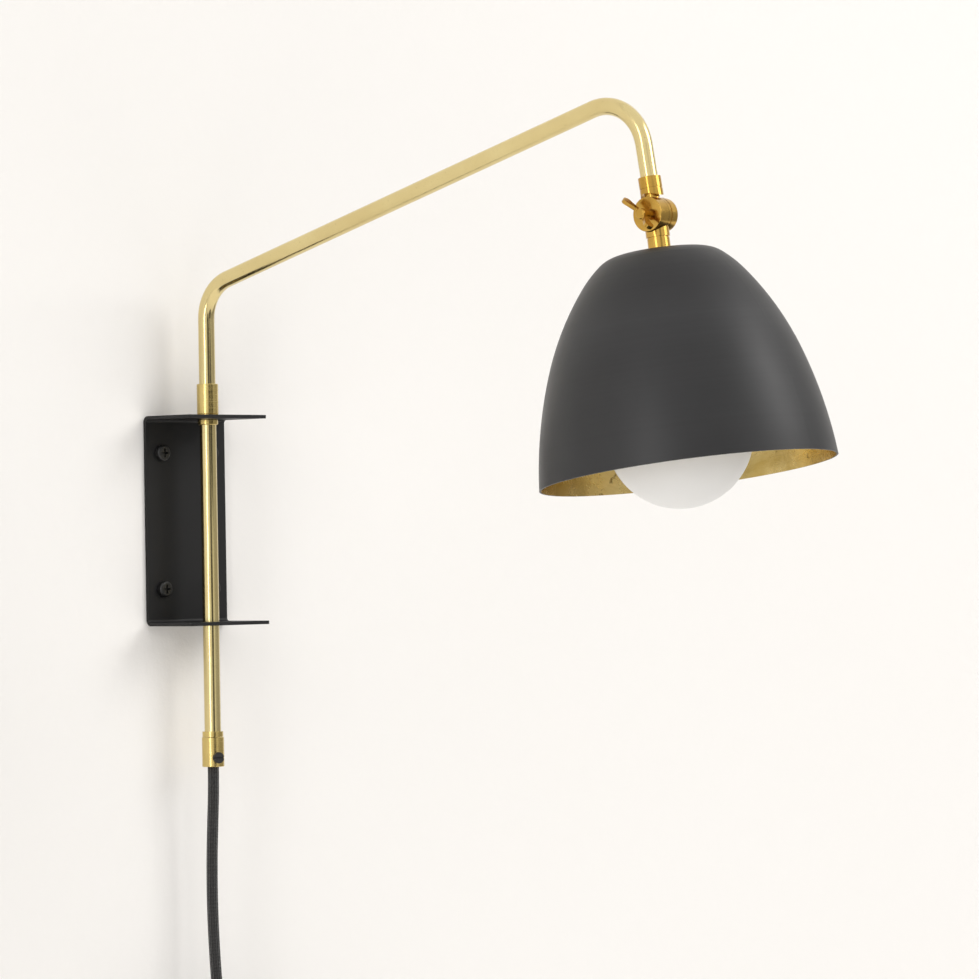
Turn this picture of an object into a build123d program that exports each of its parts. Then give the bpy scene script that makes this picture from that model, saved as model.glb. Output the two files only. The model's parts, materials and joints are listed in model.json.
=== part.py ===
"""Swing arm wall sconce: wall bracket, bent brass arm, swivel, spun shade, globe lamp and plug-in cord.

Millimetres, +Z up. The origin is the middle of the bracket's back face, on the wall. The wall is the
plane Y = 0 and the sconce stands out from it towards -Y, with +X to the right seen from the room.
"""
import os
from math import cos, radians, sin, tan

from build123d import *

os.makedirs("parts", exist_ok=True)

# --- wall bracket -------------------------------------------------------------------------------
bracket_width = 60.9
bracket_height = 121.2
bracket_depth = 39.1
bracket_sheet = 2.0
bracket_bend = 3.5
bracket_ease = 0.3
bracket_corner = 1.5
screw_spacing_x = 37.5
screw_spacing_z = 78.7
screw_diameter = 4.0
screw_shoulder = 4.4
screw_hole = 4.6
screw_head = 9.4
screw_head_height = 3.2
screw_head_round = 1.4
screw_length = 32.0
screw_slot_length = 5.2
screw_slot_width = 1.1
screw_slot_depth = 1.8

# --- tube and arm: "out" is measured from the tube's upright axis, z from the origin --------------
tube_diameter = 9.525
tube_wall = 1.0
tube_depth = 21.7
arm_swing = 6.65
rise_height = 133.8
arm_slope = 16.82
corner_out = 311.65
drop_lean = 10.0
drop_length = 69.4
lower_bend = 23.3
upper_bend = 26.9
running_clearance = 0.05
moving_gap = 0.3
tube_insertion = 7.0
wire_diameter = 2.4
wire_spacing = 2.8

# --- fittings on the upright tube -----------------------------------------------------------------
collar_diameter = 12.4
collar_height = 17.4
washer_thickness = 0.5
retainer_diameter = 11.7
retainer_height = 3.1
edge_chamfer = 0.3
bush_diameter = 11.0
grip_diameter = 12.8
grip_top = -125.1
grip_bottom = -142.3
grip_ring_diameter = 12.1
grip_ring_height = 2.9
grip_seam = 0.2
grip_screw_diameter = 6.4
grip_screw_thread = 4.0
grip_screw_height = 2.0
grip_screw_z = -137.0
grip_screw_slot = 0.9
grip_screw_turn = 24.6

# --- swivel ---------------------------------------------------------------------------------------
drum_diameter = 18.9
drum_front = 7.4
drum_rear = 8.8
drum_cap = 3.3
drum_cap_step = 0.25
drum_cap_round = 1.0
drum_groove = 2.3
sleeve_diameter = 12.5
hub_diameter = 13.0
neck_diameter = 8.0
sleeve_cope = 11.5
sleeve_end = 20.6
sleeve_groove = 13.8
groove_width = 0.7
groove_depth = 0.4
hub_end = 12.4
hub_recess = 2.0
pin_diameter = 4.2
wing_stand = 4.1
wing_hub_diameter = 6.0
wing_hub_length = 2.9
wing_radius = 12.2
wing_thickness = 2.0
wing_turn = 43.0
wing_hub_round = 0.8
# The wing's outline as (along the wing, above the hub's face).
wing_root = (1.0, 0.0)
wing_foot = (3.2, 0.0)
wing_belly = (8.6, 1.6)
wing_edge_height = 4.6
wing_tip = (9.0, 7.4)
wing_notch = (3.4, 2.8)
wing_saddle = (1.0, 2.4)

# --- lamp head: "down" is measured along the shade's axis from the swivel's pivot -----------------
shade_tilt = 7.9
shade_top = 21.0
shade_radius = 81.0
shade_sheet = 1.0
crown_radius = 22.8
# The bell's outline in tangent arcs from crown to rim: (radius beside the first arc's, turn).
shade_arcs = [(1.0, 39.5), (3.98, 13.4), (9.25, 18.2), (14.3, 14.35)]
neck_coupling_diameter = 12.2
nipple_diameter = 10.0
nipple_wall = 1.2
nipple_spare = 1.5
crown_washer_diameter = 20.0
crown_washer_height = 1.0
locknut_across = 14.0
locknut_height = 3.5
socket_length = 42.5
socket_diameter = 34.0
socket_wall = 1.2
socket_shoulder = 3.0
insert_recess = 1.0
shell_recess = 2.0
shell_diameter = 27.8
shell_wall = 0.4
contact_spring = 1.8
contact_width = 12.0
contact_depth = 4.0
contact_length = 4.5
contact_radius = 4.5
contact_rim = 1.2
insulator_radius = 11.0
base_diameter = 26.0
base_length = 22.5
base_proud = 4.0
thread_turns = 5
thread_depth = 0.8
thread_width = 1.6
lamp_lean = 2.6
lamp_centre = 59.0
globe_diameter = 80.0
globe_drop = 46.9
globe_wall = 0.9
globe_neck = 13.2
globe_neck_length = 3.0
globe_flare = 52.0

# --- cord: a round textile lead, its free length folded into a tied hank under the bracket ---------
cord_diameter = 6.5
arc_share = 0.45
hank_height = 130.0
hank_fold = 19.5
hank_loops = 5
hank_waist = 13.0
hank_shoulder = 20.0
hank_top = -287.0
tie_height = 12.0
tie_thickness = 1.5
plug_width = 24.0
plug_thickness = 17.0
plug_length = 24.0
plug_corner = 5.0
plug_round = 2.0
relief_length = 22.0
blade_length = 17.0
blade_width = 6.3
blade_thickness = 1.5
blade_spacing = 12.7
blade_chamfer = 0.4
relief_start_wall = 1.0
relief_end_wall = 3.0

# The free lead's route as (out, z), each point the corner of two straight runs.
cord_route = [
    (0.0, -134.8),
    (0.0, -155.0),
    (-1.3, -176.5),
    (-2.35, -200.0),
    (-2.4, -224.0),
    (-1.5, -246.5),
    (0.0, -268.5),
    (2.2, -291.0),
]
tail_route = [(34.7, -413.0), (34.4, -431.0), (33.5, -449.0)]

# --- frames derived from the sizes above ----------------------------------------------------------
out_dir = Vector(sin(radians(arm_swing)), -cos(radians(arm_swing)), 0)
side_dir = Vector(cos(radians(arm_swing)), sin(radians(arm_swing)), 0)
tube_axis_point = Vector(0, -tube_depth, 0)
arm_side = Plane(origin=tube_axis_point, x_dir=out_dir, z_dir=-side_dir)
corner_z = rise_height + corner_out * tan(radians(arm_slope))
pivot_out = corner_out + drop_length * sin(radians(drop_lean))
pivot_z = corner_z - drop_length * cos(radians(drop_lean))
pivot = tube_axis_point + out_dir * pivot_out + Vector(0, 0, pivot_z)


def leaning_plane(lean):
    """Plane of the arm at the pivot: its -Y runs down at `lean` degrees outwards, its Z to the left."""
    down = out_dir * sin(radians(lean)) + Vector(0, 0, -cos(radians(lean)))
    across = out_dir * cos(radians(lean)) + Vector(0, 0, sin(radians(lean)))
    return Plane(origin=pivot, x_dir=across, z_dir=across.cross(-down))


drop_side = leaning_plane(drop_lean)
head_side = leaning_plane(shade_tilt)
drop_across = Plane(origin=pivot, x_dir=side_dir, z_dir=drop_side.y_dir)
head_across = Plane(origin=pivot, x_dir=side_dir, z_dir=head_side.y_dir)
swivel_plane = Plane(origin=pivot, x_dir=out_dir, z_dir=-side_dir)

# --- the lamp sits askew in its screw shell, leaning towards the wall about the shell's middle --------
lamp_frame = leaning_plane(shade_tilt - lamp_lean)
lamp_origin = pivot + (lamp_frame.y_dir - head_side.y_dir) * lamp_centre
lamp_side = Plane(origin=lamp_origin, x_dir=lamp_frame.x_dir, z_dir=lamp_frame.z_dir)
lamp_across = Plane(origin=lamp_origin, x_dir=side_dir, z_dir=lamp_frame.y_dir)

# --- heights inside the lamp head, stacked down from the crown --------------------------------------
crown_nut_top = shade_top + shade_sheet + crown_washer_height
socket_top = crown_nut_top + locknut_height
socket_bottom = socket_top + socket_length
socket_nut_top = socket_top + socket_wall
nipple_end = socket_nut_top + locknut_height + nipple_spare
base_bottom = socket_bottom + base_proud
base_top = base_bottom - base_length
bulb_tip = base_top - contact_length
insert_floor = bulb_tip - contact_spring
globe_centre = base_bottom + globe_drop


def upright(height):
    """Horizontal plane on the upright tube's axis."""
    return Plane(origin=tube_axis_point + Vector(0, 0, height), x_dir=out_dir, z_dir=(0, 0, 1))


def save(builder, name):
    """Label a finished piece and write it to its own STEP file."""
    builder.part.label = name
    export_step(builder.part, f"parts/{name}.step")


def ring(plane, height, outer, inner):
    """Extrude a round ring, or a disc when inner is 0, up from a plane."""
    with BuildSketch(plane) as profile:
        Circle(outer / 2)
        if inner > 0:
            Circle(inner / 2, mode=Mode.SUBTRACT)
    extrude(profile.sketch, amount=height)


def cut_groove(plane, diameter):
    """Cut a shallow turned groove into a round piece."""
    with BuildSketch(plane) as profile:
        Circle(diameter / 2)
        Circle(diameter / 2 - groove_depth, mode=Mode.SUBTRACT)
    extrude(profile.sketch, amount=groove_width, mode=Mode.SUBTRACT)


def outer_edges(builder):
    """The two round edges at the ends of a turned ring."""
    return builder.edges().filter_by(GeomType.CIRCLE).sort_by(SortBy.RADIUS)[-2:]


def cord_radii(points):
    """Arc radius at each inner corner: as large as the shorter of its two runs allows."""
    radii = []
    for before, here, after in zip(points, points[1:], points[2:]):
        into = Vector(here) - Vector(before)
        out = Vector(after) - Vector(here)
        turn = into.get_angle(out)
        radii.append(arc_share * min(into.length, out.length) / tan(radians(turn / 2)))
    return radii


# --- wall bracket: one U-shaped sheet, open to the front and the sides ------------------------------
flange_inner = bracket_height / 2 - bracket_sheet
with BuildPart() as wall_bracket:
    with BuildSketch(Plane.YZ.offset(-bracket_width / 2)):
        with Locations((-bracket_depth / 2, 0)):
            Rectangle(bracket_depth, bracket_height)
        with Locations((-bracket_depth / 2 - bracket_sheet, 0)):
            Rectangle(bracket_depth, bracket_height - 2 * bracket_sheet, mode=Mode.SUBTRACT)
    extrude(amount=bracket_width)
    bends = wall_bracket.edges().filter_by(Axis.X).group_by(Axis.Y)[-1]
    fillet(bends, bracket_bend)
    inner_bends = wall_bracket.edges().filter_by(Axis.X).filter_by_position(
        Axis.Y, -bracket_sheet - 0.01, -bracket_sheet + 0.01
    )
    fillet(inner_bends, bracket_bend - bracket_sheet + bracket_ease)
    corners = wall_bracket.edges().filter_by(Axis.Z).group_by(Axis.Y)[0]
    fillet(corners, bracket_corner)
    with Locations(Plane.XZ):
        with GridLocations(screw_spacing_x, screw_spacing_z, 2, 2):
            Cylinder(screw_hole / 2, 3 * bracket_sheet, mode=Mode.SUBTRACT)
    for flange_z in (flange_inner, -flange_inner - bracket_sheet):
        with BuildSketch(upright(flange_z)):
            Circle(bush_diameter / 2)
        extrude(amount=bracket_sheet, mode=Mode.SUBTRACT)
save(wall_bracket, "wall_bracket")

# --- four pan head screws through the back plate into the wall --------------------------------------
with BuildPart() as mounting_screws:
    head_face = Plane.XZ.offset(bracket_sheet)
    with BuildSketch(head_face):
        with GridLocations(screw_spacing_x, screw_spacing_z, 2, 2):
            Circle(screw_head / 2)
    extrude(amount=screw_head_height)
    fillet(mounting_screws.faces().sort_by(Axis.Y)[:4].edges(), screw_head_round)
    with BuildSketch(head_face):
        with GridLocations(screw_spacing_x, screw_spacing_z, 2, 2):
            Circle(screw_shoulder / 2)
    extrude(amount=-bracket_sheet)
    with BuildSketch(Plane.XZ):
        with GridLocations(screw_spacing_x, screw_spacing_z, 2, 2):
            Circle(screw_diameter / 2)
    extrude(amount=-(screw_length - bracket_sheet))
    for turn in (0, 90):
        with BuildSketch(head_face.offset(screw_head_height)):
            with GridLocations(screw_spacing_x, screw_spacing_z, 2, 2):
                Rectangle(screw_slot_length, screw_slot_width, rotation=turn)
        extrude(amount=-screw_slot_depth, mode=Mode.SUBTRACT)
save(mounting_screws, "mounting_screws")

# --- nylon bushes pressed into the two flanges; the tube turns in them ------------------------------
bush_bore = tube_diameter + 2 * running_clearance
with BuildPart() as upper_bush:
    ring(upright(flange_inner), bracket_sheet, bush_diameter, bush_bore)
save(upper_bush, "upper_bush")

with BuildPart() as lower_bush:
    ring(upright(-flange_inner - bracket_sheet), bracket_sheet, bush_diameter, bush_bore)
save(lower_bush, "lower_bush")

# --- fittings on the upright tube --------------------------------------------------------------------
washer_z = bracket_height / 2 + moving_gap
collar_z = washer_z + washer_thickness
tube_joint_z = collar_z + collar_height / 2
with BuildPart() as thrust_washer:
    ring(upright(washer_z), washer_thickness, collar_diameter, tube_diameter)
save(thrust_washer, "thrust_washer")

with BuildPart() as arm_coupling:
    ring(upright(collar_z), collar_height, collar_diameter, tube_diameter)
    chamfer(outer_edges(arm_coupling), edge_chamfer)
save(arm_coupling, "arm_coupling")

with BuildPart() as retaining_collar:
    retainer_z = flange_inner - moving_gap - retainer_height
    ring(upright(retainer_z), retainer_height, retainer_diameter, tube_diameter)
    chamfer(outer_edges(retaining_collar), edge_chamfer)
save(retaining_collar, "retaining_collar")

# --- bent arm tube: up from the coupling, out along the slope and down to the swivel ------------------
tube_bore = tube_diameter - 2 * tube_wall
tube_end = drop_length - sleeve_end + tube_insertion
arm_path_points = [
    (0, tube_joint_z),
    (0, rise_height),
    (corner_out, corner_z),
    (corner_out + tube_end * sin(radians(drop_lean)), corner_z - tube_end * cos(radians(drop_lean))),
]
with BuildPart() as arm_tube:
    with BuildLine(arm_side) as arm_path:
        FilletPolyline(*arm_path_points, radius=[lower_bend, upper_bend])
    with BuildSketch(upright(tube_joint_z)):
        Circle(tube_diameter / 2)
        Circle(tube_bore / 2, mode=Mode.SUBTRACT)
    sweep(path=arm_path.wire())
save(arm_tube, "arm_tube")

lower_tube_end = grip_top - tube_insertion
with BuildPart() as lower_tube:
    ring(upright(lower_tube_end), tube_joint_z - lower_tube_end, tube_diameter, tube_bore)
save(lower_tube, "lower_tube")

# --- the lead's two insulated wires inside the arm -----------------------------------------------------
wire_start = lower_tube_end
with BuildPart() as arm_wires:
    with BuildLine(arm_side) as wire_path:
        FilletPolyline((0, wire_start), *arm_path_points[1:], radius=[lower_bend, upper_bend])
    with BuildSketch(upright(wire_start)):
        with GridLocations(0, wire_spacing, 1, 2):
            Circle(wire_diameter / 2)
    sweep(path=wire_path.wire())
save(arm_wires, "arm_wires")

# --- cord grip: threaded ring and cap with a nylon screw that pinches the cord -------------------------
with BuildPart() as grip_ring:
    ring(upright(grip_top + grip_seam), grip_ring_height, grip_ring_diameter, tube_diameter)
save(grip_ring, "grip_ring")

grip_screw_side = upright(grip_screw_z).rotated((0, 0, -grip_screw_turn))
grip_screw_axis = Plane(
    origin=grip_screw_side.origin, x_dir=(0, 0, 1), z_dir=grip_screw_side.x_dir
)
with BuildPart() as cord_grip:
    ring(upright(grip_bottom), grip_top - grip_bottom, grip_diameter, cord_diameter)
    chamfer(outer_edges(cord_grip), edge_chamfer)
    with BuildSketch(upright(lower_tube_end)):
        Circle(tube_diameter / 2)
    extrude(amount=grip_top - lower_tube_end, mode=Mode.SUBTRACT)
    with BuildSketch(grip_screw_axis):
        Circle(grip_screw_thread / 2)
    extrude(amount=grip_diameter, mode=Mode.SUBTRACT)
save(cord_grip, "cord_grip")

with BuildPart() as grip_screw:
    with BuildSketch(grip_screw_axis.offset(cord_diameter / 2)):
        Circle(grip_screw_thread / 2)
    extrude(amount=grip_diameter / 2 - cord_diameter / 2)
    with BuildSketch(grip_screw_axis.offset(grip_diameter / 2)):
        Circle(grip_screw_diameter / 2)
    extrude(amount=grip_screw_height)
    with BuildSketch(grip_screw_axis.offset(grip_diameter / 2 + grip_screw_height)):
        Rectangle(grip_screw_slot, grip_screw_diameter)
    extrude(amount=-grip_screw_slot, mode=Mode.SUBTRACT)
save(grip_screw, "grip_screw")

# --- swivel, arm half: sleeve on the drop tube, then a neck and the front half of the drum --------------
with BuildPart() as swivel_sleeve:
    ring(drop_across, sleeve_end, sleeve_diameter, neck_diameter)
    chamfer(swivel_sleeve.edges().filter_by(GeomType.CIRCLE).sort_by(Axis.Z)[-1], edge_chamfer)
    with BuildSketch(swivel_plane.offset(-sleeve_diameter)):
        Circle(sleeve_cope)
    extrude(amount=2 * sleeve_diameter, mode=Mode.SUBTRACT)
    with BuildSketch(drop_across.offset(sleeve_end - tube_insertion)):
        Circle(tube_diameter / 2)
    extrude(amount=tube_insertion, mode=Mode.SUBTRACT)
    cut_groove(drop_across.offset(sleeve_groove), sleeve_diameter)
save(swivel_sleeve, "swivel_sleeve")

pin_bore = pin_diameter + 2 * running_clearance
with BuildPart() as swivel_front:
    with BuildSketch(drop_across):
        Circle(neck_diameter / 2)
    extrude(amount=sleeve_end - tube_insertion)
    with BuildSketch(swivel_plane.offset(-drum_rear - 1)):
        Circle(drum_diameter / 2 + moving_gap)
    extrude(amount=drum_rear + 1 + moving_gap / 2, mode=Mode.SUBTRACT)
    with BuildSketch(swivel_plane.offset(moving_gap / 2)):
        Circle(drum_diameter / 2)
    extrude(amount=drum_front - moving_gap / 2)
    fillet(swivel_front.edges().filter_by(GeomType.CIRCLE).sort_by(Axis.X)[0], edge_chamfer)
    with BuildSketch(swivel_plane):
        Circle(pin_bore / 2)
    extrude(amount=drum_front, mode=Mode.SUBTRACT)
save(swivel_front, "swivel_front")

# --- swivel, lamp half: rear half of the drum with a hub towards the shade ------------------------------
with BuildPart() as swivel_rear:
    with BuildSketch(head_across.offset(-hub_end)):
        Circle(hub_diameter / 2)
    extrude(amount=hub_end)
    with BuildSketch(swivel_plane.offset(-moving_gap / 2)):
        Circle(drum_diameter / 2 + moving_gap)
    extrude(amount=drum_front + 1, mode=Mode.SUBTRACT)
    with BuildSketch(swivel_plane.offset(drum_cap - drum_rear)):
        Circle(drum_diameter / 2)
    extrude(amount=drum_rear - drum_cap - moving_gap / 2)
    with BuildSketch(swivel_plane.offset(drum_cap - drum_rear)):
        Circle(pin_bore / 2)
    extrude(amount=drum_rear, mode=Mode.SUBTRACT)
    with BuildSketch(head_across.offset(-hub_end)):
        Circle(nipple_diameter / 2 - nipple_wall)
    extrude(amount=hub_recess, mode=Mode.SUBTRACT)
    with BuildSketch(swivel_plane.offset(-drum_rear)):
        Circle(drum_diameter / 2)
    extrude(amount=drum_cap, mode=Mode.SUBTRACT)
    cut_groove(swivel_plane.offset(-drum_groove - groove_width), drum_diameter)
save(swivel_rear, "swivel_rear")

with BuildPart() as swivel_cap:
    with BuildSketch(swivel_plane.offset(-drum_rear)):
        Circle(drum_diameter / 2 - drum_cap_step)
    extrude(amount=drum_cap)
    fillet(swivel_cap.edges().filter_by(GeomType.CIRCLE).sort_by(Axis.X)[-1], drum_cap_round)
save(swivel_cap, "swivel_cap")

# --- wing screw: its shank is the swivel's pin ----------------------------------------------------------
wing_hub_z = drum_front + wing_stand
wing_dir = swivel_plane.x_dir * -cos(radians(wing_turn)) + Vector(0, 0, sin(radians(wing_turn)))
wing_foot_point = pivot + swivel_plane.z_dir * wing_hub_z
wing_plane = Plane(origin=wing_foot_point, x_dir=wing_dir, z_dir=wing_dir.cross(swivel_plane.z_dir))
with BuildPart() as wing_screw:
    with BuildSketch(swivel_plane.offset(drum_cap - drum_rear + moving_gap)):
        Circle(pin_diameter / 2)
    extrude(amount=wing_hub_z + drum_rear - drum_cap - moving_gap)
    with BuildSketch(swivel_plane.offset(wing_hub_z)):
        Circle(wing_hub_diameter / 2)
    extrude(amount=wing_hub_length)
    fillet(wing_screw.edges().filter_by(GeomType.CIRCLE).sort_by(Axis.X)[0], wing_hub_round)
    with BuildSketch(wing_plane):
        with BuildLine():
            Polyline(wing_root, wing_foot, wing_belly)
            ThreePointArc(wing_belly, (wing_radius, wing_edge_height), wing_tip)
            Polyline(wing_tip, wing_notch, wing_saddle)
            Line(wing_saddle, wing_root)
        make_face()
        mirror(about=Plane.YZ)
    extrude(amount=wing_thickness / 2, both=True)
save(wing_screw, "wing_screw")

# --- neck, nipple and shade -----------------------------------------------------------------------------
with BuildPart() as neck_coupling:
    ring(head_across.offset(-shade_top), shade_top - hub_end, neck_coupling_diameter, nipple_diameter)
    cut_groove(head_across.offset(-hub_end - groove_width), neck_coupling_diameter)
save(neck_coupling, "neck_coupling")

with BuildPart() as nipple:
    nipple_bore = nipple_diameter - 2 * nipple_wall
    ring(head_across.offset(-nipple_end), nipple_end - hub_end, nipple_diameter, nipple_bore)
save(nipple, "nipple")


def shoulder_radius():
    """Radius of the first arc that brings the whole chain out to shade_radius at the rim."""
    reach = 0.0
    lean = 0.0
    for ratio, turn in shade_arcs:
        reach += ratio * (sin(radians(lean + turn)) - sin(radians(lean)))
        lean += turn
    return (shade_radius - crown_radius) / reach


def bell_line(inset):
    """One face of the bell's sheet, from the nipple's hole to the rim, as tangent arcs."""
    piece = Line((nipple_diameter / 2, -shade_top - inset), (crown_radius, -shade_top - inset))
    for ratio, turn in shade_arcs:
        piece = JernArc(piece @ 1, piece % 1, ratio * shoulder_radius() - inset, -turn)
    return piece @ 1


with BuildPart() as shade:
    with BuildSketch(head_side):
        with BuildLine():
            outer_rim = bell_line(0.0)
            inner_rim = bell_line(shade_sheet)
            Line(outer_rim, inner_rim)
            Line(
                (nipple_diameter / 2, -shade_top),
                (nipple_diameter / 2, -shade_top - shade_sheet),
            )
        make_face()
    revolve(axis=Axis(pivot, head_side.y_dir))
save(shade, "shade")

# --- inside the crown: washer, lock nuts, socket ----------------------------------------------------------
with BuildPart() as shade_washer:
    ring(head_across.offset(-crown_nut_top), crown_washer_height, crown_washer_diameter, nipple_diameter)
save(shade_washer, "shade_washer")

with BuildPart() as lock_nuts:
    for nut_top in (crown_nut_top, socket_nut_top):
        with BuildSketch(head_across.offset(-nut_top - locknut_height)):
            RegularPolygon(locknut_across / 2, 6, major_radius=False)
            Circle(nipple_diameter / 2, mode=Mode.SUBTRACT)
        extrude(amount=locknut_height)
save(lock_nuts, "lock_nuts")

with BuildPart() as socket_cup:
    ring(head_across.offset(-socket_bottom), socket_length, socket_diameter, 0)
    fillet(socket_cup.edges().filter_by(GeomType.CIRCLE).sort_by(Axis.Z)[-1], socket_shoulder)
    with BuildSketch(head_across.offset(-socket_bottom)):
        Circle(socket_diameter / 2 - socket_wall)
    extrude(amount=socket_length - socket_wall, mode=Mode.SUBTRACT)
    with BuildSketch(head_across.offset(-socket_bottom)):
        Circle(nipple_diameter / 2)
    extrude(amount=socket_length, mode=Mode.SUBTRACT)
save(socket_cup, "socket_cup")

insert_diameter = socket_diameter - 2 * socket_wall
insert_end = socket_bottom - insert_recess
insert_top = nipple_end + insert_recess
with BuildPart() as socket_insert:
    ring(head_across.offset(-insert_end), insert_end - insert_top, insert_diameter, 0)
    with BuildSketch(head_across.offset(-insert_end)):
        Circle(shell_diameter / 2)
    extrude(amount=insert_end - insert_floor, mode=Mode.SUBTRACT)
save(socket_insert, "socket_insert")

shell_end = socket_bottom - shell_recess
with BuildPart() as screw_shell:
    shell_bore = shell_diameter - 2 * shell_wall
    ring(head_across.offset(-shell_end), shell_end - base_top, shell_diameter, shell_bore)
save(screw_shell, "screw_shell")

with BuildPart() as centre_contact:
    with BuildSketch(head_across.offset(-insert_floor)):
        Rectangle(contact_width, contact_depth)
    extrude(amount=-2 * contact_spring)
    split(bisect_by=lamp_across.offset(-bulb_tip), keep=Keep.TOP)
save(centre_contact, "centre_contact")


# --- globe lamp --------------------------------------------------------------------------------------
def globe_outline(inset):
    """Half section of the glass: straight neck, a flare and the round globe, inset inwards."""
    radius = globe_diameter / 2 - inset
    neck = globe_neck - inset
    blend_angle = radians(globe_flare)
    neck_end = -base_bottom - globe_neck_length
    blend = (radius * sin(blend_angle), -globe_centre + radius * cos(blend_angle))
    with BuildLine() as outline:
        Line((0, -base_bottom), (neck, -base_bottom))
        Line((neck, -base_bottom), (neck, neck_end))
        Spline(
            (neck, neck_end),
            blend,
            tangents=[(0, -1), (cos(blend_angle), -sin(blend_angle))],
        )
        ThreePointArc(
            blend,
            (radius, -globe_centre),
            (0, -globe_centre - radius),
        )
        Line((0, -globe_centre - radius), (0, -base_bottom))
    make_face(outline.edges())


with BuildPart() as bulb_globe:
    with BuildSketch(lamp_side):
        globe_outline(0.0)
    revolve(axis=Axis(lamp_origin, lamp_side.y_dir))
    with BuildSketch(lamp_side):
        globe_outline(globe_wall)
    revolve(axis=Axis(lamp_origin, lamp_side.y_dir), mode=Mode.SUBTRACT)
save(bulb_globe, "bulb_globe")

with BuildPart() as bulb_base:
    ring(lamp_across.offset(-base_bottom), base_bottom - base_top, base_diameter, 0)
    thread_pitch = base_length / (thread_turns + 1)
    for turn in range(1, thread_turns + 1):
        with BuildSketch(lamp_across.offset(-base_top - turn * thread_pitch)):
            Circle(base_diameter / 2)
            Circle(base_diameter / 2 - thread_depth, mode=Mode.SUBTRACT)
        extrude(amount=thread_width, mode=Mode.SUBTRACT)
save(bulb_base, "bulb_base")

with BuildPart() as bulb_contact:
    with BuildSketch(lamp_side):
        with BuildLine():
            Polyline(
                (0, -bulb_tip),
                (contact_radius, -bulb_tip),
                (contact_radius, -bulb_tip - contact_rim),
                (insulator_radius, -base_top),
                (0, -base_top),
                close=True,
            )
        make_face()
    revolve(axis=Axis(lamp_origin, lamp_side.y_dir))
save(bulb_contact, "bulb_contact")


# --- cord: hanging lead, tied hank, tail and plug ----------------------------------------------------
def cord_tube(points, name):
    """Solid round lead along straight runs joined by tangent arcs; prints each arc's radius."""
    radii = cord_radii(points)
    print(name, "arc radii", [round(radius, 1) for radius in radii])
    with BuildLine(arm_side) as path:
        FilletPolyline(*points, radius=radii)
    start = Vector(*points[0])
    along = Vector(*points[1]) - start
    run = arm_side.x_dir * along.X + arm_side.y_dir * along.Y
    with BuildSketch(Plane(origin=arm_side.from_local_coords(start), x_dir=side_dir, z_dir=run)) as section:
        Circle(cord_diameter / 2)
    sweep(section.sketch, path=path.wire())


with BuildPart() as cord:
    cord_tube(cord_route, "cord")
save(cord, "cord")

hank_radius = hank_fold + cord_diameter / 2
hank_lobe = hank_height / 2 - hank_radius
hank_depth = (hank_loops + 1) * cord_diameter
hank_out = cord_route[-1][0] + hank_loops * cord_diameter / 2
hank_middle = tube_axis_point + out_dir * hank_out + Vector(0, 0, hank_top - hank_height / 2)
hank_plane = Plane(origin=hank_middle, x_dir=side_dir, z_dir=out_dir)
with BuildPart() as cord_hank:
    with BuildSketch(hank_plane):
        with Locations((0, hank_lobe), (0, -hank_lobe)):
            Circle(hank_radius)
        Rectangle(2 * hank_waist, 2 * hank_lobe)
        Polygon(
            (-hank_waist, tie_height),
            (-hank_radius * cos(radians(hank_shoulder)), hank_lobe - hank_radius * sin(radians(hank_shoulder))),
            (hank_radius * cos(radians(hank_shoulder)), hank_lobe - hank_radius * sin(radians(hank_shoulder))),
            (hank_waist, tie_height),
            align=None,
        )
        Polygon(
            (-hank_waist, -tie_height),
            (-hank_radius * cos(radians(hank_shoulder)), -hank_lobe + hank_radius * sin(radians(hank_shoulder))),
            (hank_radius * cos(radians(hank_shoulder)), -hank_lobe + hank_radius * sin(radians(hank_shoulder))),
            (hank_waist, -tie_height),
            align=None,
        )
    extrude(amount=hank_depth / 2, both=True)
    fillet(cord_hank.faces().sort_by(Axis.Y)[0].outer_wire().edges(), cord_diameter / 2)
    fillet(cord_hank.faces().sort_by(Axis.Y)[-1].outer_wire().edges(), cord_diameter / 2)
save(cord_hank, "cord_hank")

with BuildPart() as cord_tie:
    tie_plane = Plane(origin=hank_middle - Vector(0, 0, tie_height / 2), x_dir=side_dir, z_dir=(0, 0, 1))
    with BuildSketch(tie_plane):
        RectangleRounded(
            2 * (hank_waist + tie_thickness),
            hank_depth + 2 * tie_thickness,
            cord_diameter / 2 + tie_thickness,
        )
        RectangleRounded(2 * hank_waist, hank_depth, cord_diameter / 2, mode=Mode.SUBTRACT)
    extrude(amount=tie_height)
save(cord_tie, "cord_tie")

with BuildPart() as cord_tail:
    cord_tube(tail_route, "cord tail")
save(cord_tail, "cord_tail")

tail_end = arm_side.from_local_coords(Vector(*tail_route[-1]))
tail_run = Vector(*tail_route[-1]) - Vector(*tail_route[-2])
plug_down = (arm_side.x_dir * tail_run.X + arm_side.y_dir * tail_run.Y).normalized()
plug_plane = Plane(origin=tail_end, x_dir=side_dir, z_dir=plug_down)
with BuildPart() as plug_relief:
    with BuildSketch(plug_plane):
        Circle(cord_diameter / 2 + relief_start_wall)
    with BuildSketch(plug_plane.offset(relief_length)):
        Circle(cord_diameter / 2 + relief_end_wall)
    loft()
    with BuildSketch(plug_plane):
        Circle(cord_diameter / 2)
    extrude(amount=relief_length / 2, mode=Mode.SUBTRACT)
save(plug_relief, "plug_relief")

with BuildPart() as plug_body:
    with BuildSketch(plug_plane.offset(relief_length)):
        RectangleRounded(plug_width, plug_thickness, plug_corner)
    extrude(amount=plug_length)
    fillet(plug_body.faces().sort_by(Axis.Z)[-1].edges(), plug_round)
save(plug_body, "plug_body")

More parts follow.
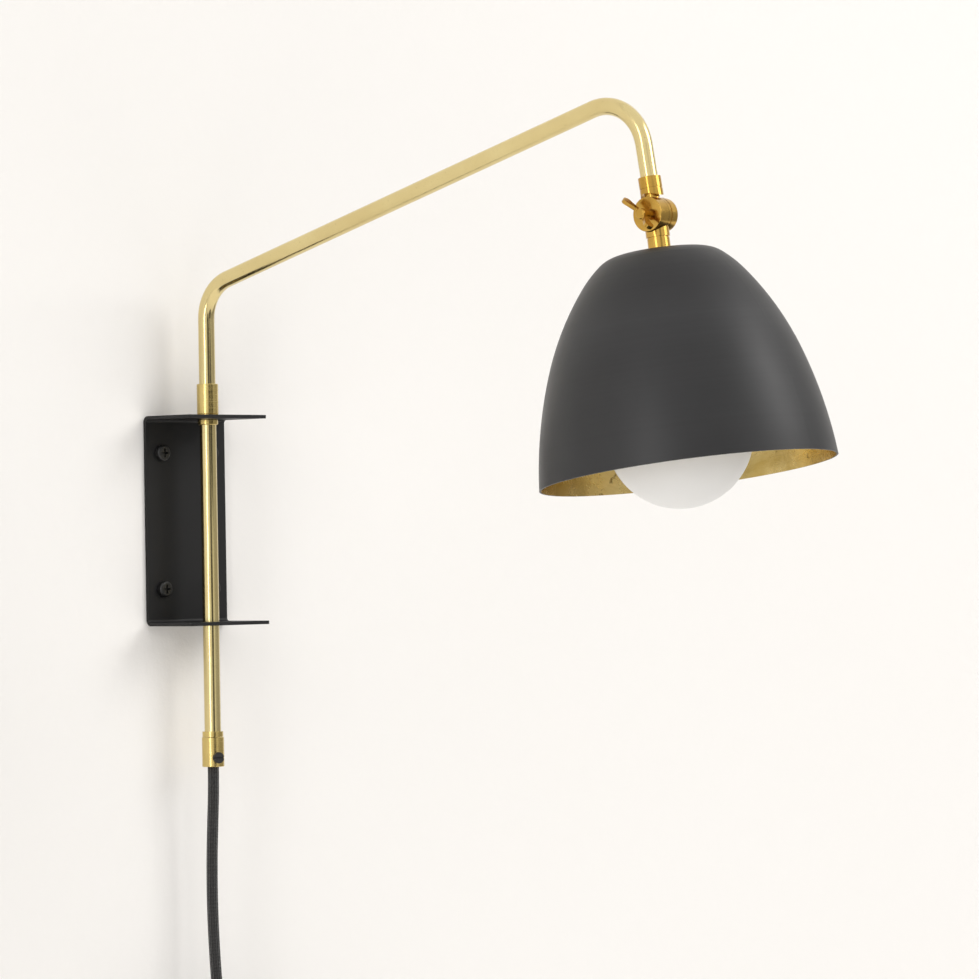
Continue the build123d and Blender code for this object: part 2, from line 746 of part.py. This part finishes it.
with BuildPart() as plug_blades:
    with BuildSketch(plug_plane.offset(relief_length + plug_length)):
        with GridLocations(blade_spacing, 0, 2, 1):
            Rectangle(blade_thickness, blade_width)
    extrude(amount=blade_length)
    chamfer(plug_blades.faces().sort_by(Axis.Z)[:2].edges(), blade_chamfer)
save(plug_blades, "plug_blades")
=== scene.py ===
"""Looks of the swing arm wall sconce: camera, cord, materials, wall and studio light.

Metres, in the part's own frame: the wall is the plane Y = 0, the sconce stands out towards -Y, +Z is up.
"""
import json
from math import cos, pi, radians, sin

import bmesh
import bpy
from mathutils import Matrix, Vector


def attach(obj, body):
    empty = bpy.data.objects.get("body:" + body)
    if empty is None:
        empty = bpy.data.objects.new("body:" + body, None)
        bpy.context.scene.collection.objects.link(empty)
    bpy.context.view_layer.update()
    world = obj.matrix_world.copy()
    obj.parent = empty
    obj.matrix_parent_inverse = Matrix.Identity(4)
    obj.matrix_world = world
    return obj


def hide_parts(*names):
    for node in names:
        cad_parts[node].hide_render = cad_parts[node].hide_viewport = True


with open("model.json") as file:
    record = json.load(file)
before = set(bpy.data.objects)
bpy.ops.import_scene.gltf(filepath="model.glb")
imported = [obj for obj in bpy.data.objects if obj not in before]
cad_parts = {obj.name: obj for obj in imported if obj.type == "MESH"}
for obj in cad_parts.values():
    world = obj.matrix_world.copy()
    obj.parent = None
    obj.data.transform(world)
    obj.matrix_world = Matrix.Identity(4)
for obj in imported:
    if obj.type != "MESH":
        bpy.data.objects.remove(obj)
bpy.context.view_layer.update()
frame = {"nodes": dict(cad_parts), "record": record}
nodes = frame["nodes"]

# --- places taken from the frame ------------------------------------------------------------------
joints = {joint["name"]: joint for joint in frame["record"]["behaviour"]["joints"]}
pivot = Vector(joints["shade_tilt"]["pos_m"])
tube_axis = Vector(joints["arm_swing"]["pos_m"])
arm_out = Vector((pivot.x - tube_axis.x, pivot.y - tube_axis.y, 0)).normalized()
arm_side = Vector((-arm_out.y, arm_out.x, 0))

# --- sizes shared with the cord's CAD solids --------------------------------------------------------
cord_diameter = 0.0065
cord_length = 1.80
cord_resolution = 6
hank_loops = 5
hank_fold = 0.0195
hank_top = -0.287
hank_height = 0.130
hank_waist = 0.0130
shade_tilt = radians(7.9)
tie_height = 0.012
tie_thickness = 0.0015

# The hank's line: points round each fold, the first fold's start, their step and how far they swell.
fold_points = 9
fold_start = 10
fold_step = 25
fold_swell = 1.02
entry_drop = 0.025
entry_side = 0.004
lead_side = 0.001
corner_steps = 8

# The lead's route as (out, z) from the tube's axis, before and after the hank.
cord_route = [
    (0.0, -0.1348),
    (0.0, -0.155),
    (-0.0013, -0.1765),
    (-0.00235, -0.200),
    (-0.0024, -0.224),
    (-0.0015, -0.2465),
    (0.0, -0.2685),
    (0.0022, -0.291),
]
tail_route = [(0.0347, -0.413), (0.0344, -0.431), (0.0335, -0.449)]


camera_place = (-2.01314, -2.25971, -0.0195)
camera_lens = 191.22
camera_turn = -45.06
camera_rise = 90.66
camera_roll = -0.95


# --- camera -------------------------------------------------------------------------------------------
def add_camera():
    """Long lens from the left of the sconce, level with its bracket."""
    data = bpy.data.cameras.new("camera")
    data.sensor_width = 36.0
    data.lens = camera_lens
    data.clip_end = 50.0
    camera = bpy.data.objects.new("camera", data)
    bpy.context.scene.collection.objects.link(camera)
    turn = Matrix.Rotation(radians(camera_turn), 4, "Z")
    rise = Matrix.Rotation(radians(camera_rise), 4, "X")
    roll = Matrix.Rotation(radians(camera_roll), 4, "Z")
    camera.matrix_world = Matrix.Translation(camera_place) @ turn @ rise @ roll
    bpy.context.scene.camera = camera


add_camera()


# --- cord ---------------------------------------------------------------------------------------------
def from_tube(out, side, z):
    """Point at a distance out along the arm and to its side, measured from the tube's axis."""
    return Vector((tube_axis.x, tube_axis.y, 0)) + arm_out * out + arm_side * side + Vector((0, 0, z))


def hank_points():
    """The wound stretch: loops pinched at the tie, each a diameter further out than the last."""
    lobe = hank_height / 2 - hank_fold - cord_diameter / 2
    middle = hank_top - hank_height / 2
    fold = hank_fold * fold_swell
    waist = hank_waist - cord_diameter / 2
    first_out = cord_route[-1][0]
    loop = [(waist, 0.0)]
    for step in range(fold_points):
        angle = radians(fold_start - fold_step * step)
        loop.append((fold * cos(angle), -lobe + fold * sin(angle)))
    loop += [(-waist, 0.0)]
    for step in range(fold_points):
        angle = radians(180 + fold_start - fold_step * step)
        loop.append((fold * cos(angle), lobe + fold * sin(angle)))
    points = []
    steps = len(loop)
    for step in range(hank_loops * steps + 1):
        side, height = loop[step % steps]
        points.append((first_out + step / steps * cord_diameter, side, middle + height))
    return points


def strap_outline(swell):
    """Flat oval round the bundle as (out, side) from its middle, grown outwards by swell."""
    half_side = hank_waist + swell
    half_out = (hank_loops + 1) * cord_diameter / 2 + swell
    corner = cord_diameter / 2 + swell
    outline = []
    for quarter in range(4):
        out_sign = (1, 1, -1, -1)[quarter]
        side_sign = (1, -1, -1, 1)[quarter]
        for step in range(corner_steps + 1):
            angle = radians(90 * (quarter + step / corner_steps))
            out = out_sign * (half_out - corner) + corner * sin(angle)
            outline.append((out, side_sign * (half_side - corner) + corner * cos(angle)))
    return outline


def add_strap():
    """Woven strap round the hank's waist, with rolled edges."""
    out_middle = cord_route[-1][0] + hank_loops * cord_diameter / 2
    middle = hank_top - hank_height / 2
    half = tie_height / 2
    section = [(0.0, -half * 0.92), (0.6, -half), (1.0, -half * 0.85), (1.06, 0.0)]
    section += [(1.0, half * 0.85), (0.6, half), (0.0, half * 0.92)]
    points = []
    for swell, height in section:
        for out, side in strap_outline(0.0001 + swell * (tie_thickness - 0.0002)):
            points.append(from_tube(out_middle + out, side, middle + height))
    ring = len(strap_outline(0.0))
    rows = len(section)
    faces = []
    for row in range(rows):
        for step in range(ring):
            after = (step + 1) % ring
            below = row * ring
            above = (row + 1) % rows * ring
            faces.append((below + step, below + after, above + after, above + step))
    mesh = bpy.data.meshes.new("cord_strap")
    mesh.from_pydata(points, [], faces)
    mesh.validate()
    shape = bmesh.new()
    shape.from_mesh(mesh)
    bmesh.ops.recalc_face_normals(shape, faces=shape.faces)
    shape.to_mesh(mesh)
    shape.free()
    mesh.shade_smooth()
    strap = bpy.data.objects.new("cord_strap", mesh)
    bpy.context.scene.collection.objects.link(strap)
    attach(strap, "arm")
    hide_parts("cord_tie")
    return strap


cord_strap = add_strap()


def add_cord():
    """One smooth line from the grip through the hank to the plug."""
    route = [(out, 0.0, z) for out, z in cord_route[:-1]]
    route.append((cord_route[-1][0], lead_side, cord_route[-1][1]))
    route.append((cord_route[-1][0], entry_side, hank_top - entry_drop))
    route += hank_points()
    route.append((tail_route[0][0], entry_side, hank_top - hank_height + entry_drop))
    route += [(out, 0.0, z) for out, z in tail_route]
    curve = bpy.data.curves.new("cord_line", "CURVE")
    curve.dimensions = "3D"
    curve.bevel_depth = 1.0
    curve.bevel_resolution = cord_resolution
    curve.resolution_u = cord_resolution
    curve.use_fill_caps = True
    line = curve.splines.new("NURBS")
    line.points.add(len(route) - 1)
    for point, place in zip(line.points, route):
        point.co = (*from_tube(*place), 1.0)
        point.radius = cord_diameter / 2
    line.order_u = 3
    line.use_endpoint_u = True
    cord = bpy.data.objects.new("mains_cord", curve)
    bpy.context.scene.collection.objects.link(cord)
    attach(cord, "arm")
    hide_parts("cord", "cord_hank", "cord_tail")
    on_cord = [nodes[name] for name in ("plug_relief", "plug_body", "plug_blades")]
    on_cord.append(cord_strap)
    return cord


mains_cord = add_cord()


# --- material helpers -----------------------------------------------------------------------------------
class Shader:
    """Small wrapper that builds one node material."""

    def __init__(self, name):
        self.material = bpy.data.materials.new(name)
        self.material.use_nodes = True
        self.tree = self.material.node_tree
        self.surface = self.tree.nodes["Principled BSDF"]

    def node(self, kind, values=None, **settings):
        """Add a node, set its properties and the inputs named in values."""
        made = self.tree.nodes.new(kind)
        for key, value in settings.items():
            setattr(made, key, value)
        for key, value in (values or {}).items():
            if isinstance(value, bpy.types.NodeSocket):
                self.tree.links.new(value, made.inputs[key])
            else:
                made.inputs[key].default_value = value
        return made

    def place(self):
        """Rest-frame position, in metres."""
        return self.node("ShaderNodeTexCoord").outputs["Object"]

    def noise(self, scale, detail=3.0, rough=0.5, vector=None, distort=0.0):
        """Noise value at a scale per metre."""
        values = {"Scale": scale, "Detail": detail, "Roughness": rough, "Distortion": distort}
        values["Vector"] = vector or self.place()
        return self.node("ShaderNodeTexNoise", values).outputs["Fac"]

    def span(self, value, low, high, to_low=0.0, to_high=1.0):
        """Map a value from one range to another, clamped."""
        values = {"Value": value, "From Min": low, "From Max": high, "To Min": to_low, "To Max": to_high}
        return self.node("ShaderNodeMapRange", values).outputs["Result"]

    def maths(self, operation, first, second=0.0, third=0.0):
        """One arithmetic step."""
        return self.node("ShaderNodeMath", {0: first, 1: second, 2: third}, operation=operation).outputs[0]

    def mix(self, factor, first, second):
        """Blend two colours."""
        values = {"Factor": factor, 6: first, 7: second}
        return self.node("ShaderNodeMix", values, data_type="RGBA").outputs[2]

    def stretched(self, scale):
        """Rest-frame position stretched by a scale for each axis."""
        return self.node("ShaderNodeMapping", {"Vector": self.place(), "Scale": scale}).outputs["Vector"]

    def bump(self, height, distance, strength=1.0):
        """Raise the surface by a height value times a distance in metres."""
        values = {"Height": height, "Distance": distance, "Strength": strength}
        self.set("Normal", self.node("ShaderNodeBump", values).outputs["Normal"])

    def set(self, key, value):
        """Set or link one input of the surface shader."""
        if isinstance(value, bpy.types.NodeSocket):
            self.tree.links.new(value, self.surface.inputs[key])
        else:
            self.surface.inputs[key].default_value = value


def brass(name, light, dark, rough, streak_scale, streak_depth):
    """Bare brass: slow colour drift, fine streaks along the drawing direction and a few dark specks."""
    shader = Shader(name)
    drift = shader.noise(26.0, 4.0, 0.6)
    streaks = shader.noise(1.0, 3.0, 0.6, shader.stretched(streak_scale))
    specks = shader.span(shader.noise(900.0, 2.0), 0.70, 0.76)
    tone = shader.span(drift, 0.3, 0.7)
    colour = shader.mix(tone, dark, light)
    colour = shader.mix(shader.maths("MULTIPLY", specks, 0.5), colour, (0.20, 0.13, 0.05, 1.0))
    shader.set("Base Color", colour)
    shader.set("Metallic", 1.0)
    shader.set("Roughness", shader.span(streaks, 0.3, 0.7, rough - 0.05, rough + 0.07))
    shader.bump(streaks, streak_depth)
    return shader.material


def powder_coat():
    """Satin black powder coat with a fine orange-peel grain."""
    shader = Shader("powder_coat")
    peel = shader.noise(1500.0, 2.0)
    tone = shader.noise(60.0, 3.0)
    shader.set("Base Color", shader.mix(tone, (0.0035, 0.0035, 0.004, 1.0), (0.006, 0.006, 0.0065, 1.0)))
    shader.set("Roughness", shader.span(tone, 0.3, 0.7, 0.48, 0.56))
    shader.set("Specular IOR Level", 0.35)
    shader.bump(peel, 0.00006)
    return shader.material


def plain_black(name, base, rough, grain, depth):
    """Black screw, nylon, moulding or strap with its own grain."""
    shader = Shader(name)
    tone = shader.noise(grain, 2.0)
    lift = tuple(value * 1.5 for value in base)
    shader.set("Base Color", shader.mix(tone, (*base, 1.0), (*lift, 1.0)))
    shader.set("Roughness", shader.span(tone, 0.3, 0.7, rough - 0.05, rough + 0.05))
    shader.bump(tone, depth)
    return shader.material


def shade_finish():
    """Blackened brass outside, raw streaked brass inside and on the rim's cut edge."""
    shader = Shader("shade_finish")
    down = arm_out * sin(shade_tilt) + Vector((0, 0, -cos(shade_tilt)))
    centre = pivot + down * 0.143
    values = {0: shader.place(), 1: tuple(centre)}
    outward = shader.node("ShaderNodeVectorMath", values, operation="SUBTRACT").outputs[0]
    normal = shader.node("ShaderNodeTexCoord").outputs["Normal"]
    facing = shader.node("ShaderNodeVectorMath", {0: outward, 1: normal}, operation="DOT_PRODUCT")
    outside = shader.span(facing.outputs["Value"], 0.002, 0.004)
    values = {0: shader.place(), 1: tuple(pivot)}
    from_pivot = shader.node("ShaderNodeVectorMath", values, operation="SUBTRACT").outputs[0]
    values = {0: from_pivot, 1: tuple(down)}
    depth = shader.node("ShaderNodeVectorMath", values, operation="DOT_PRODUCT").outputs["Value"]

    cloud = shader.noise(18.0, 4.0, 0.6)
    turned = shader.node("ShaderNodeCombineXYZ", {"Z": shader.maths("MULTIPLY", depth, 420.0)})
    rings = shader.noise(1.0, 4.0, 0.65, turned.outputs[0])
    burnish = shader.maths(
        "MULTIPLY", shader.span(depth, 0.045, 0.062), shader.span(depth, 0.062, 0.085, 1.0, 0.0)
    )
    tone = shader.maths("ADD", shader.maths("MULTIPLY", cloud, 0.5), shader.maths("MULTIPLY", rings, 0.3))
    tone = shader.maths("ADD", tone, shader.maths("MULTIPLY", burnish, 0.25))
    black = shader.mix(shader.span(tone, 0.2, 0.8), (0.018, 0.018, 0.019, 1.0), (0.034, 0.034, 0.036, 1.0))

    raw_cloud = shader.noise(30.0, 5.0, 0.65, distort=0.4)
    raw = shader.mix(shader.span(raw_cloud, 0.35, 0.7), (0.50, 0.36, 0.11, 1.0), (0.86, 0.70, 0.34, 1.0))
    spots = shader.span(shader.noise(170.0, 3.0), 0.66, 0.72)
    raw = shader.mix(shader.maths("MULTIPLY", spots, 0.8), raw, (0.16, 0.10, 0.03, 1.0))

    shader.set("Base Color", shader.mix(outside, raw, black))
    shader.set("Metallic", shader.span(outside, 0.0, 1.0, 1.0, 0.35))
    black_rough = shader.span(cloud, 0.3, 0.7, 0.40, 0.50)
    raw_rough = shader.span(raw_cloud, 0.3, 0.7, 0.20, 0.34)
    mixed = shader.node("ShaderNodeMix", {"Factor": outside, 2: raw_rough, 3: black_rough}).outputs[0]
    shader.set("Roughness", mixed)
    shader.bump(rings, 0.00002)
    return shader.material


def opal_glass():
    """Matt opal globe, white all through."""
    shader = Shader("opal_glass")
    tone = shader.noise(40.0, 2.0)
    shader.set("Base Color", shader.mix(tone, (0.86, 0.86, 0.84, 1.0), (0.88, 0.88, 0.865, 1.0)))
    shader.set("Roughness", 0.38)
    shader.set("Subsurface Weight", 0.25)
    shader.set("Subsurface Radius", (0.02, 0.02, 0.018))
    shader.set("Subsurface Scale", 0.6)
    return shader.material


def textile():
    """Black braided sleeve: two sets of yarns crossing round the cord."""
    shader = Shader("textile")
    coords = shader.node("ShaderNodeTexCoord").outputs["UV"]
    parts = shader.node("ShaderNodeSeparateXYZ", {"Vector": coords}).outputs
    along = shader.maths("MULTIPLY", parts["X"], cord_length / cord_diameter * 2.2 * 2 * pi)
    around = shader.maths("MULTIPLY", parts["Y"], 8 * 2 * pi)
    right = shader.maths("SINE", shader.maths("ADD", along, around))
    left = shader.maths("SINE", shader.maths("SUBTRACT", along, around))
    weave = shader.maths("MULTIPLY", right, left)
    fluff = shader.noise(2500.0, 2.0)
    height = shader.maths("ADD", weave, fluff)
    dark = (0.008, 0.008, 0.008, 1.0)
    light = (0.022, 0.021, 0.021, 1.0)
    shader.set("Base Color", shader.mix(shader.span(height, -0.6, 1.4), dark, light))
    shader.set("Roughness", 0.85)
    shader.set("Sheen Weight", 0.25)
    shader.set("Sheen Roughness", 0.5)
    shader.bump(height, 0.0003)
    return shader.material


def paint(material, *names):
    """Give CAD nodes a material."""
    for name in names:
        node = nodes[name]
        if not node.material_slots:
            node.data.materials.append(material)
        for slot in node.material_slots:
            slot.material = material


tube_brass = brass(
    "tube_brass", (0.74, 0.62, 0.31, 1.0), (0.68, 0.55, 0.26, 1.0), 0.17, (400.0, 400.0, 12.0), 0.000004
)
fitting_brass = brass(
    "fitting_brass", (0.70, 0.55, 0.22, 1.0), (0.60, 0.45, 0.16, 1.0), 0.22, (30.0, 30.0, 900.0), 0.00001
)
# Deeper gold brass for the swivel. Its colour is also lowered as painted shade: a darker copy of the brass
# that stands in for the darker surroundings the swivel mirrors.
swivel_brass = brass(
    "swivel_brass", (0.66, 0.42, 0.10, 1.0), (0.44, 0.25, 0.045, 1.0), 0.18, (200.0, 200.0, 200.0), 0.000008
)
inner_brass = brass(
    "inner_brass", (0.82, 0.66, 0.34, 1.0), (0.70, 0.52, 0.22, 1.0), 0.30, (60.0, 60.0, 60.0), 0.00001
)
paint(powder_coat(), "wall_bracket")
paint(plain_black("black_screw", (0.005, 0.005, 0.005), 0.42, 700.0, 0.00002), "mounting_screws")
nylon = plain_black("black_nylon", (0.010, 0.010, 0.010), 0.42, 500.0, 0.00002)
paint(nylon, "upper_bush", "lower_bush", "grip_screw")
paint(tube_brass, "arm_tube", "lower_tube")
paint(fitting_brass, "arm_coupling", "retaining_collar", "thrust_washer", "cord_grip", "grip_ring")
paint(
    swivel_brass,
    "swivel_sleeve",
    "swivel_front",
    "swivel_rear",
    "swivel_cap",
    "wing_screw",
    "neck_coupling",
)
paint(
    inner_brass,
    "nipple",
    "shade_washer",
    "lock_nuts",
    "centre_contact",
    "bulb_contact",
    "screw_shell",
    "plug_blades",
)
paint(shade_finish(), "shade")
paint(plain_black("socket_black", (0.015, 0.015, 0.015), 0.40, 300.0, 0.00003), "socket_cup")
paint(plain_black("phenolic", (0.020, 0.014, 0.012), 0.25, 200.0, 0.00002), "socket_insert")
paint(opal_glass(), "bulb_globe")
lamp_base_metal = brass(
    "lamp_base_metal", (0.75, 0.75, 0.74, 1.0), (0.62, 0.62, 0.61, 1.0), 0.28, (50.0, 50.0, 900.0), 0.00001
)
paint(lamp_base_metal, "bulb_base")
cord_strap.data.materials.append(plain_black("strap", (0.012, 0.012, 0.012), 0.8, 1800.0, 0.0002))
paint(plain_black("plug_moulding", (0.012, 0.012, 0.012), 0.48, 900.0, 0.00003), "plug_relief", "plug_body")
paint(plain_black("wire_sleeve", (0.30, 0.30, 0.30), 0.5, 400.0, 0.00001), "arm_wires")
mains_cord.data.materials.append(textile())


# --- wall and light -------------------------------------------------------------------------------------
def add_plane(name, width, height, matrix, material):
    """Flat stage panel of a size, placed by a matrix."""
    mesh = bpy.data.meshes.new(name)
    w, h = width / 2, height / 2
    mesh.from_pydata([(-w, -h, 0), (w, -h, 0), (w, h, 0), (-w, h, 0)], [], [(0, 1, 2, 3)])
    mesh.materials.append(material)
    panel = bpy.data.objects.new(name, mesh)
    panel.matrix_world = matrix
    bpy.context.scene.collection.objects.link(panel)


def wall_paint():
    """Off-white painted plaster, very slightly uneven."""
    shader = Shader("wall_paint")
    roller = shader.noise(90.0, 4.0, 0.55)
    broad = shader.noise(3.0, 2.0)
    shader.set("Base Color", shader.mix(broad, (0.90, 0.885, 0.865, 1.0), (0.915, 0.90, 0.885, 1.0)))
    shader.set("Roughness", 0.7)
    shader.bump(roller, 0.0004)
    return shader.material


def one_sided(material):
    """Let the wall be seen only from the room, so that it doesn't hide the object from behind."""
    tree = material.node_tree
    behind = tree.nodes.new("ShaderNodeNewGeometry").outputs["Backfacing"]
    clear = tree.nodes.new("ShaderNodeBsdfTransparent").outputs[0]
    chosen = tree.nodes.new("ShaderNodeMixShader")
    tree.links.new(behind, chosen.inputs[0])
    tree.links.new(tree.nodes["Principled BSDF"].outputs[0], chosen.inputs[1])
    tree.links.new(clear, chosen.inputs[2])
    tree.links.new(chosen.outputs[0], tree.nodes["Material Output"].inputs["Surface"])
    return material


def add_softbox(name, place, aim, width, height, power, colour):
    """Rectangular area light turned towards a point."""
    data = bpy.data.lights.new(name, "AREA")
    data.shape = "RECTANGLE"
    data.size = width
    data.size_y = height
    data.energy = power
    data.color = colour
    light = bpy.data.objects.new(name, data)
    direction = Vector(aim) - Vector(place)
    light.matrix_world = Matrix.Translation(place) @ direction.to_track_quat("-Z", "Y").to_matrix().to_4x4()
    bpy.context.scene.collection.objects.link(light)


wall_place = Matrix.Translation((0, 0.0004, 0.6)) @ Matrix.Rotation(pi / 2, 4, "X")
add_plane("wall_panel", 7.0, 6.0, wall_place, one_sided(wall_paint()))
add_plane("floor_panel", 7.0, 7.0, Matrix.Translation((0, -3.5, -1.5)), wall_paint())


def add_world():
    """Pale room that is darker below and behind the camera, so that the brass has something to mirror."""
    world = bpy.data.worlds.new("studio")
    world.use_nodes = True
    tree = world.node_tree
    background = tree.nodes["Background"]
    coords = tree.nodes.new("ShaderNodeTexCoord")

    def facing(direction, low, high, to_low, to_high):
        """Brightness that depends on the angle from one direction."""
        dot = tree.nodes.new("ShaderNodeVectorMath")
        dot.operation = "DOT_PRODUCT"
        dot.inputs[1].default_value = tuple(Vector(direction).normalized())
        tree.links.new(coords.outputs["Generated"], dot.inputs[0])
        span = tree.nodes.new("ShaderNodeMapRange")
        span.interpolation_type = "SMOOTHSTEP"
        for key, value in zip(("From Min", "From Max", "To Min", "To Max"), (low, high, to_low, to_high)):
            span.inputs[key].default_value = value
        tree.links.new(dot.outputs["Value"], span.inputs["Value"])
        return span.outputs["Result"]

    def times(first, second):
        """Product of two brightnesses."""
        product = tree.nodes.new("ShaderNodeMath")
        product.operation = "MULTIPLY"
        tree.links.new(first, product.inputs[0])
        tree.links.new(second, product.inputs[1])
        return product.outputs[0]

    height = facing((0, 0, 1), -0.9, 0.3, 0.45, 1.0)
    doorway = facing((-0.34, -0.93, 0.05), 0.955, 0.985, 1.0, 0.10)
    corner = facing((0.75, -0.62, -0.2), 0.55, 0.95, 1.0, 0.45)
    shade = times(times(height, doorway), corner)
    tree.links.new(shade, background.inputs["Strength"])
    background.inputs["Color"].default_value = (1.0, 0.985, 0.965, 1.0)
    bpy.context.scene.world = world


add_world()
aim_point = tuple((pivot + tube_axis) / 2)
add_softbox("window", (1.9, -2.4, 1.7), aim_point, 1.7, 1.7, 36.0, (1.0, 0.99, 0.97))
add_softbox("left_strip", (-2.4, -0.9, 0.4), aim_point, 0.45, 2.2, 14.0, (1.0, 0.99, 0.97))
bpy.context.scene.view_settings.view_transform = "Standard"

# --- hand over --------------------------------------------------------------------------------------------
bpy.context.view_layer.update()
